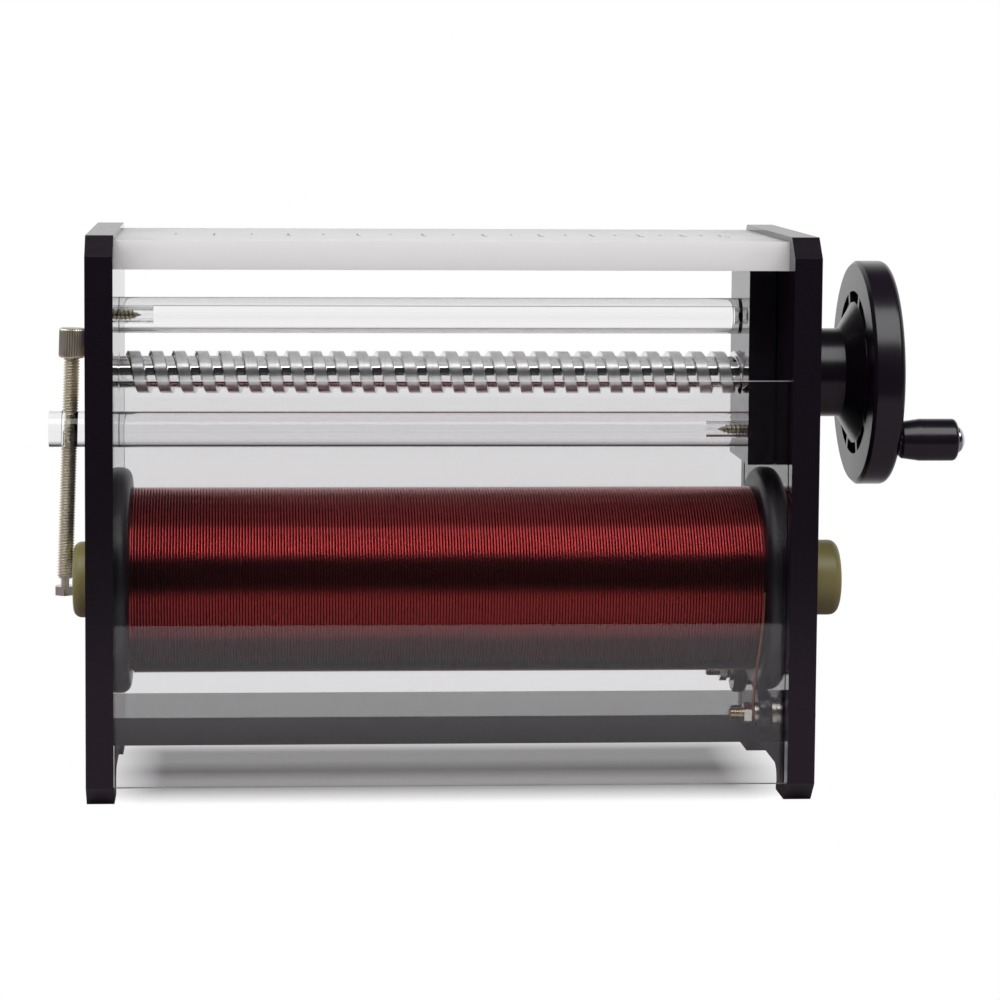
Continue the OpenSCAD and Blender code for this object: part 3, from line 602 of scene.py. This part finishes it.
# Adjusting screw: fine thread on a leaning axis
low, high = corners("link_nut")
link = (low + high) / 2
link_h = high.z - low.z
low, high = corners("adjusting_screw")
lean = math.radians(ARM_LEAN)
arm_place = Matrix.Translation(link) @ Matrix.Rotation(lean, 4, "Y")
arm_r = (high.y - low.y) / 2
arm_foot = -link_h / 2
arm_step = link_h / 2 + ARM_NECK_L
arm_top = (high.z - link.z) / math.cos(lean) - ARM_TOP_GAP
arm_root = arm_r - ARM_THREAD_DEPTH
neck_r = ARM_NECK_D / 2
upright = Shape()
upright.turned([
    (AXIS_R, arm_foot),
    (neck_r, arm_foot),
    (neck_r, arm_step),
    (arm_root, arm_step),
    (arm_root, arm_top),
    (AXIS_R, arm_top),
], ARM_SIDES)
arm_turns = (arm_top - arm_step) / ARM_PITCH - 1
arm_section = fine_thread(ARM_THREAD_W, arm_root - FINE_SINK, arm_r, ARM_CREST_W)
upright.ridge(arm_step, ARM_PITCH, arm_turns, ARM_STEPS, arm_section)
arm = Shape()
arm.join(upright, arm_place)
arm.piece("adjusting_screw_thread", "carriage", "nickel_steel", ["adjusting_screw"], ARM_SMOOTH)

# Knob on the adjusting screw: the solid's knurls, with rounded ends
low, high = corners("adjusting_knob")
knob_sides = 2 * KNOB_KNURLS
knob_bore = arm_r + KNOB_FIT
knob_r = (high.y - low.y) / 2
knob_low = (low.z - link.z + knob_r * math.sin(lean)) / math.cos(lean)
knob_high = (high.z - link.z - knob_r * math.sin(lean)) / math.cos(lean)


def knurled(inset, h):
    """Ring of points on the knob's outline, set in by a distance."""
    crests = circle(knob_r - inset, h, knob_sides)
    grooves = circle(knob_r - inset - KNOB_GROOVE, h, knob_sides)
    return [grooves[k] if k % 2 else crests[k] for k in range(knob_sides)]


knob_round = rounding(KNOB_ROUND, KNOB_ROUND_STEPS)
upright = Shape()
upright.add(
    [circle(knob_bore, h, knob_sides) for h in (knob_high - KNOB_CAP, knob_low)]
    + [knurled(inset, knob_low + back) for inset, back in reversed(knob_round)]
    + [knurled(inset, knob_high - back) for inset, back in knob_round]
)
knob = Shape()
knob.join(upright, arm_place)
knob.piece("knurled_knob", "carriage", "nickel_steel", ["adjusting_knob"])


# Countersunk screws: head with a cross recess, coarse thread and a point
def wood_screw(length, head_r):
    """Screw with its head at the origin, pointing along +Z."""
    shank = head_r * WOOD_SHANK
    root = shank * WOOD_ROOT
    neck = head_r - shank + WOOD_HEAD_EXTRA
    start = neck + WOOD_HEAD_RIM
    run = length - start - WOOD_POINT
    full = (length - WOOD_TIP - start) / run

    def taper(share):
        """Share of the thread's full radius, which falls off along the point."""
        return min(1.0, 1.0 - WOOD_FADE * (share - full) / (1.0 - full))

    one = Shape()
    one.add([
        cross(CROSS_ARM * CROSS_TAPER, CROSS_HALF * CROSS_TAPER, CROSS_DEPTH, WOOD_SIDES),
        cross(CROSS_ARM, CROSS_HALF, 0.0, WOOD_SIDES),
        circle(head_r, 0.0, WOOD_SIDES),
        circle(head_r, WOOD_HEAD_RIM, WOOD_SIDES),
        circle(shank, neck, WOOD_SIDES),
        circle(root, neck + WOOD_RUNOUT, WOOD_SIDES),
        circle(root, length - WOOD_TIP, WOOD_SIDES),
        circle(WOOD_POINT_R, length, WOOD_SIDES),
    ])
    section = fine_thread(WOOD_THREAD_W, root * WOOD_SINK, shank)
    one.ridge(start, WOOD_PITCH, run / WOOD_PITCH, FINE_STEPS, section, taper)
    return one


def threaded_screws(node, body):
    """Replaces a node's plain screws by threaded ones, each in its own place."""
    group = Shape()
    for points in solids(node):
        low, high = extent(points)
        middle = (low + high) / 2
        head_r = (high.z - low.z) / 2
        at_low = [math.hypot(p.y - middle.y, p.z - middle.z) for p in points if p.x - low.x < WOOD_END]
        heading = 1 if max(at_low) > head_r * WOOD_HEAD_SHARE else -1
        x = low.x if heading > 0 else high.x
        group.join(wood_screw(high.x - low.x, head_r), along_x(x, middle.y, middle.z, heading))
    group.piece(node + "_threaded", body, "plated_screw", [node])


for screw_node in ("guide_rod_screws", "top_plate_screws", "base_bar_screws"):
    threaded_screws(screw_node, "frame")
threaded_screws("push_rod_screw", "carriage")

# Thread on the end of each terminal's stud, up to its nut
studs = Shape()
nut_left = corners("terminal_nuts")[0].x
for points in solids("terminal_sockets"):
    low, high = extent(points)
    middle = (low + high) / 2
    stud_r = max(math.hypot(p.y - middle.y, p.z - middle.z) for p in points if p.x - low.x < STUD_END)
    stud_turns = (nut_left - low.x - STUD_PITCH) / STUD_PITCH
    section = fine_thread(STUD_THREAD_W, stud_r - FINE_SINK, stud_r + STUD_RISE)
    stud = Shape()
    stud.ridge(STUD_TIP, STUD_PITCH, stud_turns, FINE_STEPS, section)
    studs.join(stud, along_x(low.x, middle.y, middle.z))
studs.piece("terminal_stud_threads", "frame", "terminal_brass")

# Scale let into the top plate, with marks closer together towards the handwheel
top_low, top_high = corners("top_plate")
scale_low = top_high.z - SCALE_DEEP
scale_high = top_high.z + SCALE_PROUD
scale = Shape()


def digits(number, x, y):
    """Adds a number to the scale, with the middle of its foot at a place."""
    curve = bpy.data.curves.new("digits", "FONT")
    curve.body = str(number)
    curve.size = DIGIT_H
    curve.align_x = "CENTER"
    curve.extrude = (scale_high - scale_low) / 2
    source = bpy.data.objects.new("digits", curve)
    scene.collection.objects.link(source)
    mesh = bpy.data.meshes.new_from_object(source.evaluated_get(bpy.context.evaluated_depsgraph_get()))
    figure = Shape()
    figure.points = [v.co.copy() for v in mesh.vertices]
    figure.faces = [tuple(face.vertices) for face in mesh.polygons]
    scale.join(figure, Matrix.Translation((x, y, (scale_low + scale_high) / 2)))
    bpy.data.objects.remove(source)


mark_x = top_low.x + SCALE_FIRST
for i in range(SCALE_MARKS):
    half = (SCALE_LONG if i % 2 else SCALE_SHORT) / 2
    scale.box((mark_x - SCALE_LINE / 2, -half, scale_low), (mark_x + SCALE_LINE / 2, half, scale_high))
    if i % 2:
        digits(i // 2 + 1, mark_x, -half - DIGIT_GAP - DIGIT_H)
    mark_x += SCALE_STEP - SCALE_STEP_LOSS * i
scale.piece("scale_marks", "frame", "scale_ink")


# Stage, in metres: a white table in front of a white backdrop, in a dim room
TABLE_FRONT = -0.40
TABLE_BACK = 2.5
TABLE_SIDE = 2.2
TABLE_DROP = 0.0002
# Painted light and shade on the table: a white glow mixed over its real shadow, partly inside the object's
# footprint (moved back, so the front is whiter) and full past it, with less glow in a painted shade band
# across Y
SHADOW_INSET = 0.025
SHADOW_FADE = 0.025
SHADOW_BACK = 0.006
PAINTED_LIFT = 0.27
PAINTED_SHADE_GLOW = 0.1
PAINTED_SHADE_Y = 0.004
PAINTED_SHADE_REACH = 0.016
MIRROR_NEAR = 0.08
MIRROR_FAR = 0.25
MIRROR_WHITE = 0.8
WHITE = (1.0, 1.0, 1.0, 1.0)
TABLE_COLOUR = (0.39, 0.325, 0.375, 1.0)
ROOM_DARK = (0.03, 0.028, 0.032)
ROOM_WHITE = (0.97, 0.97, 0.97)
AMBIENT_FRONT = (0.12, 0.12, 0.12)
AMBIENT_BEHIND = (0.5, 0.5, 0.5)
SOFTBOX_PLACE = (-0.1, -0.645, 1.095)
SOFTBOX_AIM = (-0.02, 0.0, 0.07)
SOFTBOX_SIZE = (2.4, 0.8)
SOFTBOX_WATTS = 21.0

# Directions in which the backdrop begins and is full, as the Y and Z of a unit vector
BACKDROP_SIDE = -0.1
BACKDROP_FULL = 0.25
BACKDROP_TOP = 0.75
BACKDROP_BRIGHT = 0.4


def seen_by(tree, *kinds):
    """1 for rays of any of these kinds."""
    path = add(tree, "LightPath")
    share = path.outputs[kinds[0]]
    for kind in kinds[1:]:
        share = reckon(tree, "MAXIMUM", share, path.outputs[kind])
    return share


def table_look():
    """Pale material with the object's real shadow under a painted white glow that runs out into white, and a
    painted shade band; mirrors see it white behind.
    """
    mat = bpy.data.materials.new("table")
    mat.use_nodes = True
    tree = mat.node_tree
    tree.nodes.clear()
    foot_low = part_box("left_plate")[0]
    foot_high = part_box("right_plate")[1]
    middle = (foot_low + foot_high) / 2 + Vector((0.0, SHADOW_BACK, 0.0))
    half = (foot_high - foot_low) / 2
    inner = (half.x - SHADOW_INSET, half.y - SHADOW_INSET, 1.0)
    where = add(tree, "TexCoord").outputs["Object"]
    off = reckon_vector(tree, "SUBTRACT", where, (middle.x, middle.y, 0.0))
    past = reckon_vector(tree, "SUBTRACT", reckon_vector(tree, "ABSOLUTE", off), inner)
    away = reckon_vector(tree, "LENGTH", reckon_vector(tree, "MAXIMUM", past, (0.0, 0.0, 0.0)))
    back = add(tree, "SeparateXYZ", {"Vector": where}).outputs["Y"]
    # Painted shade band: less white glow near one Y, so the floor under the object is darker there;
    # elsewhere in the footprint the glow partly lifts the real shadow, a painted light
    from_painted_shade = reckon(tree, "ABSOLUTE", reckon(tree, "SUBTRACT", back, PAINTED_SHADE_Y))
    painted_lift = between(tree, from_painted_shade, PAINTED_SHADE_GLOW, PAINTED_LIFT, end=PAINTED_SHADE_REACH)
    painted_glow = between(tree, away, painted_lift, 1.0, end=SHADOW_FADE)
    shown = reckon(tree, "MULTIPLY", painted_glow, seen_by(tree, "Is Camera Ray", "Is Transmission Ray"))
    far = between(tree, back, 0.0, MIRROR_WHITE, MIRROR_NEAR, MIRROR_FAR)
    mirrored = reckon(tree, "MULTIPLY", far, seen_by(tree, "Is Glossy Ray"))
    matte = add(tree, "BsdfDiffuse", {"Color": TABLE_COLOUR}).outputs["BSDF"]
    glow = add(tree, "Emission", {"Color": WHITE, "Strength": 1.0}).outputs["Emission"]
    mix = add(tree, "MixShader", {"Fac": reckon(tree, "MAXIMUM", shown, mirrored), 1: matte, 2: glow})
    add(tree, "OutputMaterial", {"Surface": mix.outputs["Shader"]})
    return mat


def table():
    """Flat table under and behind the object."""
    mesh = bpy.data.meshes.new("table")
    outline = [
        (-TABLE_SIDE, TABLE_FRONT),
        (TABLE_SIDE, TABLE_FRONT),
        (TABLE_SIDE, TABLE_BACK),
        (-TABLE_SIDE, TABLE_BACK),
    ]
    mesh.from_pydata([(x, y, -TABLE_DROP) for x, y in outline], [], [(0, 1, 2, 3)])
    mesh.materials.append(table_look())
    obj = bpy.data.objects.new("table", mesh)
    scene.collection.objects.link(obj)


def room():
    """White for the camera; mirrors and glass see a white backdrop behind the object and a dim room."""
    world = bpy.data.worlds.new("room")
    scene.world = world
    world.use_nodes = True
    tree = world.node_tree
    tree.nodes.clear()
    where = add(tree, "TexCoord")
    split = add(tree, "SeparateXYZ", {"Vector": where.outputs["Generated"]})
    behind = between(tree, split.outputs["Y"], 0.0, 1.0, BACKDROP_SIDE, BACKDROP_FULL)
    under = between(tree, split.outputs["Z"], 0.0, 1.0, BACKDROP_TOP, BACKDROP_BRIGHT)
    backdrop = reckon(tree, "MULTIPLY", behind, under)
    shown = add(tree, "Mix", {"Factor": seen_by(tree, "Is Camera Ray")}, data_type="RGBA")
    tree.links.new(tone(tree, backdrop, ROOM_DARK, ROOM_WHITE), shown.inputs["A"])
    shown.inputs["B"].default_value = WHITE
    sharp_light = add(tree, "Background", {"Color": shown.outputs["Result"], "Strength": 1.0})
    ambient = tone(tree, backdrop, AMBIENT_FRONT, AMBIENT_BEHIND)
    soft_light = add(tree, "Background", {"Color": ambient, "Strength": 1.0})
    sharp = seen_by(tree, "Is Camera Ray", "Is Glossy Ray", "Is Transmission Ray")
    mix = add(tree, "MixShader", {
        "Fac": sharp, 1: soft_light.outputs["Background"], 2: sharp_light.outputs["Background"],
    })
    add(tree, "OutputWorld", {"Surface": mix.outputs["Shader"]})


def softbox(name, place, aim, size, power):
    """Rectangular lamp, in watts, that points at a place."""
    lamp = bpy.data.lights.new(name, "AREA")
    lamp.shape = "RECTANGLE"
    lamp.size, lamp.size_y = size
    lamp.energy = power
    obj = bpy.data.objects.new(name, lamp)
    obj.location = place
    obj.rotation_euler = (Vector(aim) - Vector(place)).to_track_quat("-Z", "Y").to_euler()
    scene.collection.objects.link(obj)


table()
room()
softbox("front_softbox", SOFTBOX_PLACE, SOFTBOX_AIM, SOFTBOX_SIZE, SOFTBOX_WATTS)

# Camera at the photograph's viewing angle: place in metres, lens in millimetres, turns in degrees
CAMERA_PLACE = (-0.0927, -1.1087, 0.247)
CAMERA_LENS = 112.77
CAMERA_SENSOR = 36.0
CAMERA_YAW = 3.296
CAMERA_PITCH = 4.718
CAMERA_ROLL = 0.34
CAMERA_SHIFT = (0.0785, -0.159)
camera = bpy.data.cameras.new("camera")
camera.lens = CAMERA_LENS
camera.sensor_width = CAMERA_SENSOR
camera.shift_x, camera.shift_y = CAMERA_SHIFT
camera_object = bpy.data.objects.new("camera", camera)
camera_object.matrix_world = (
    Matrix.Translation(CAMERA_PLACE)
    @ Matrix.Rotation(math.radians(-CAMERA_YAW), 4, "Z")
    @ Matrix.Rotation(math.radians(90 - CAMERA_PITCH), 4, "X")
    @ Matrix.Rotation(math.radians(CAMERA_ROLL), 4, "Z")
)
scene.collection.objects.link(camera_object)
scene.camera = camera_object
scene.view_settings.view_transform = "Standard"
